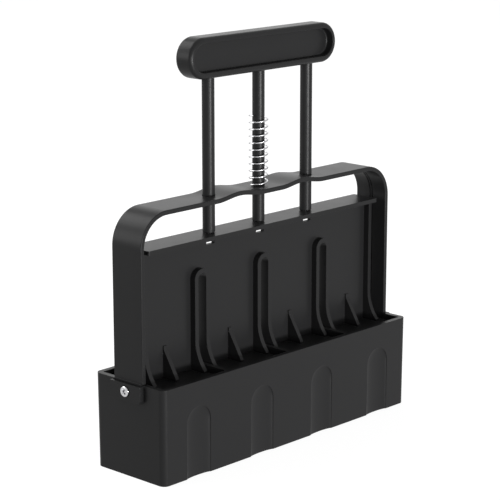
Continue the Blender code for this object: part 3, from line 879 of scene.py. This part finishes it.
def drawRib(look, name, inner, outer, top):  # one face is drawn down to the rib's flared foot
    half = look["ribDepth"] / 2
    rib = addFlat(name, (inner, -half), (outer, half), top)
    stops = flareStops(look)
    height = look["plateTop"] + stops[0][0]
    reach = stops[0][1]
    editAll(rib)
    bpy.ops.mesh.select_mode(type="FACE")
    draw(z=height - top)
    for above, halfDepth in stops[1:]:
        low = look["plateTop"] + above
        draw(z=low - height)
        stretch(1, halfDepth / reach, 1, (0, 0, low))
        height, reach = low, halfDepth
    leaveEdit()
    return rib


def makeEndRib(look):
    top = look["flangeTop"] - look["flangeThickness"] + look["join"]
    return faceOutward(drawRib(look, "endRib", look["half"] - look["ribThickness"], look["half"], top))


# hairpin: one leg, spun over the crown to the middle, then mirrored to the divider's other side
def makeHairpin(look):
    inner = look["hairpinGap"] / 2
    outer = inner + look["ribThickness"]
    crown = look["hairpinTop"] - outer
    hairpin = drawRib(look, "hairpin", inner, outer, crown)
    pick(hairpin, "FACE", lambda face: min(vert.co.z for vert in face.verts) > crown - nearly)
    steps = look["hairpinSteps"] // 2
    bpy.ops.mesh.spin(steps=steps, angle=math.radians(90), center=(0, 0, crown), axis=(0, 1, 0))
    leaveEdit()
    return mirrorHalf(hairpin)


def makeSlot(look):  # what is cut out between a hairpin's legs
    half = look["hairpinGap"] / 2 + look["shave"]
    reach = look["ribFoot"] / 2 + look["slotReach"]
    low = look["plateTop"] - look["slotDepth"]
    top = look["hairpinTop"] - look["ribThickness"] + look["shave"]
    slot = addBox("slot", (-half, -reach, low), (half, reach, top))
    pick(slot, "EDGE", lambda edge: runsAlong(edge, 1) and edge.verts[0].co.z > look["plateTop"])
    roundFully(half, look["hairpinSteps"] // 2)
    return slot


def makeGusset(look):
    half = look["gussetThickness"] / 2
    tip = look["gussetTip"] / 2
    toe = look["plateTop"] + look["ribToe"]
    high = look["plateTop"] + look["gussetHeight"]
    low = high - look["gussetTipDrop"]
    gusset = addBox("gusset", (-half, -tip, low), (half, tip, high))
    pick(gusset, "FACE", facesDown)
    draw(z=toe - low)
    stretch(1, look["gussetFoot"] / 2 / tip, 1, (0, 0, toe))
    draw(z=-look["ribToe"] - look["join"])
    leaveEdit()
    return gusset


def makePlate(look):
    half = look["plateSize"] / 2
    top = look["plateTop"]
    plate = addBox("plate", (-half, -half, top - look["plateThickness"]), (half, half, top))
    pick(plate, "EDGE", lambda edge: runsAlong(edge, 2))
    roundPicked(look["plateRound"], look["plateSegments"])
    return plate


def makeEjector(look):
    end = look["half"]
    top = look["flangeTop"]
    low = top - look["flangeThickness"]
    front = look["flangeDepth"] / 2
    atDividers = [number * look["pitch"] for number in look["dividers"]]
    atCells = [number * look["pitch"] for number in look["cells"]]
    piece = addBox("ejectorMoulding", (-end, -front, low), (end, front, top))
    pick(piece, "EDGE", lambda edge: runsAlong(edge, 2))
    roundPicked(look["cornerRound"], look["cornerSegments"])
    web = look["webThickness"] / 2
    webEnd = end - look["ribThickness"] / 2
    webLow = look["plateTop"] - look["join"]
    carve(piece, addBox("web", (-webEnd, -web, webLow), (webEnd, web, low + look["join"])), "UNION")

    carveCopies(piece, makeHairpin(look), atDividers, "UNION")
    carveCopies(piece, makeEndRib(look), (look["ribThickness"] - 2 * end, 0), "UNION")
    carveCopies(piece, makeGusset(look), look["gussets"], "UNION")
    carveCopies(piece, makePlate(look), atCells, "UNION")
    carveCopies(piece, makeSlot(look), atDividers)

    half = look["windowWidth"] / 2
    depth = look["windowHalfDepth"]
    for x in look["rods"]:
        carve(piece, addBox("window", (x - half, -depth, low - look["windowHeight"]), (x + half, depth, low)))
        hole = addRod("hole", look["screwHole"], low - cutPast, top + cutPast, look["holeSides"])
        carve(piece, shiftBy(hole, x))
    under = look["plateTop"] - look["plateThickness"]
    deep = under + look["pinHoleDepth"]
    pinHole = addRod("hole", look["pinHole"], under - cutPast, deep, look["holeSides"])
    carveCopies(piece, pinHole, atCells)

    mergeClose(piece)
    bpy.ops.mesh.dissolve_limited(angle_limit=math.radians(look["flatDegrees"]))
    leaveEdit()
    soften(piece, look["edgeRound"], look["edgeSegments"], look["edgeDegrees"])
    return evenShade(piece)


# seed pins: round pegs under the plates that leave a dimple for the seed

pinLook = {
    "radius": 0.0050,
    "sides": 64,
    "tipRadius": 0.0035,
    "tipRound": 0.0020,
    "tipSegments": 6,
    "length": 0.0080,
    "stemRadius": 0.0020,
    "stemRoot": 0.0005,
    "stemLength": 0.0022,
    "stemSides": 32,
    "seat": 0.0503,
    "pitch": 0.0532,
    "cells": (-1.5, -0.5, 0.5, 1.5),
}


def makePin(look):
    pin = addRod("pin", look["radius"], -look["length"], 0, look["sides"])
    pick(pin, "FACE", facesDown)
    narrow = look["tipRadius"] / look["radius"]
    stretch(narrow, narrow, 1, (0, 0, -look["length"]))
    leaveEdit()
    pick(pin, "EDGE", lowerRim)
    roundPicked(look["tipRound"], look["tipSegments"])
    stem = addRod("stem", look["stemRadius"], -look["stemRoot"], look["stemLength"], look["stemSides"])
    carve(pin, stem, "UNION")
    return evenShade(shiftBy(pin, z=look["seat"]))


addCamera(cameraLook)
addFloor(studioLook)
addSky(studioLook)
addLamps(studioLook)
blackPlastic = grainyMaterial("blackPlastic", plasticLook)
brightSteel = grainyMaterial("brightSteel", steelLook)
for name in nodes:  # the pieces below replace every one of them
    dress(nodes[name], blackPlastic)
print("studio and materials ready")

place(makeHandle(handleLook), blackPlastic, "plunger", "handle_grip")
place(makeStrap(strapLook), blackPlastic, "mould", "bail_strap")
place(makeBox(boxLook), blackPlastic, "mould", "mould_box")
print("handle, strap and box ready")

firstRod = makeRod(rodLook)
for node, x in rodLook["places"].items():
    rod = copyPiece(firstRod, node.replace("rod", "pushRod"), (x, 0, 0))
    place(rod, blackPlastic, "plunger", node)
bpy.data.objects.remove(firstRod)
place(makeEjector(ejectorLook), blackPlastic, "plunger", "ejector")
firstPin = makePin(pinLook)
for number, cell in enumerate(pinLook["cells"], 1):
    pin = copyPiece(firstPin, "seedPin_" + str(number), (cell * pinLook["pitch"], 0, 0))
    place(pin, blackPlastic, "plunger", "seed_pin_" + str(number))
bpy.data.objects.remove(firstPin)
print("rods, ejector and seed pins ready")

coil = makeSpring(springLook)
place(coil, brightSteel, "mould", "spring")
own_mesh(coil)

bailScrew = makeScrew(screwLook, screwLook["bailStem"])
for node, side in (("bail_screw_left", -1), ("bail_screw_right", 1)):
    screw = copyPiece(bailScrew, node.replace("bail_screw", "screw"), (0, 0, 0))
    turnBy(screw, -90 * side, "Y")
    shiftBy(screw, x=side * screwLook["bailSeat"], z=screwLook["bailHeight"])
    place(screw, brightSteel, "mould", node)
rodScrew = makeScrew(screwLook, screwLook["rodStem"])
for node, x in rodLook["places"].items():
    screw = copyPiece(rodScrew, node.replace("rod", "flangeScrew"), (x, 0, screwLook["rodSeat"]))
    place(screw, brightSteel, "plunger", node.replace("rod", "rod_screw"))
for first in (bailScrew, rodScrew):
    bpy.data.objects.remove(first)
print("spring and screws ready")

bpy.context.scene.view_settings.view_transform = "Standard"
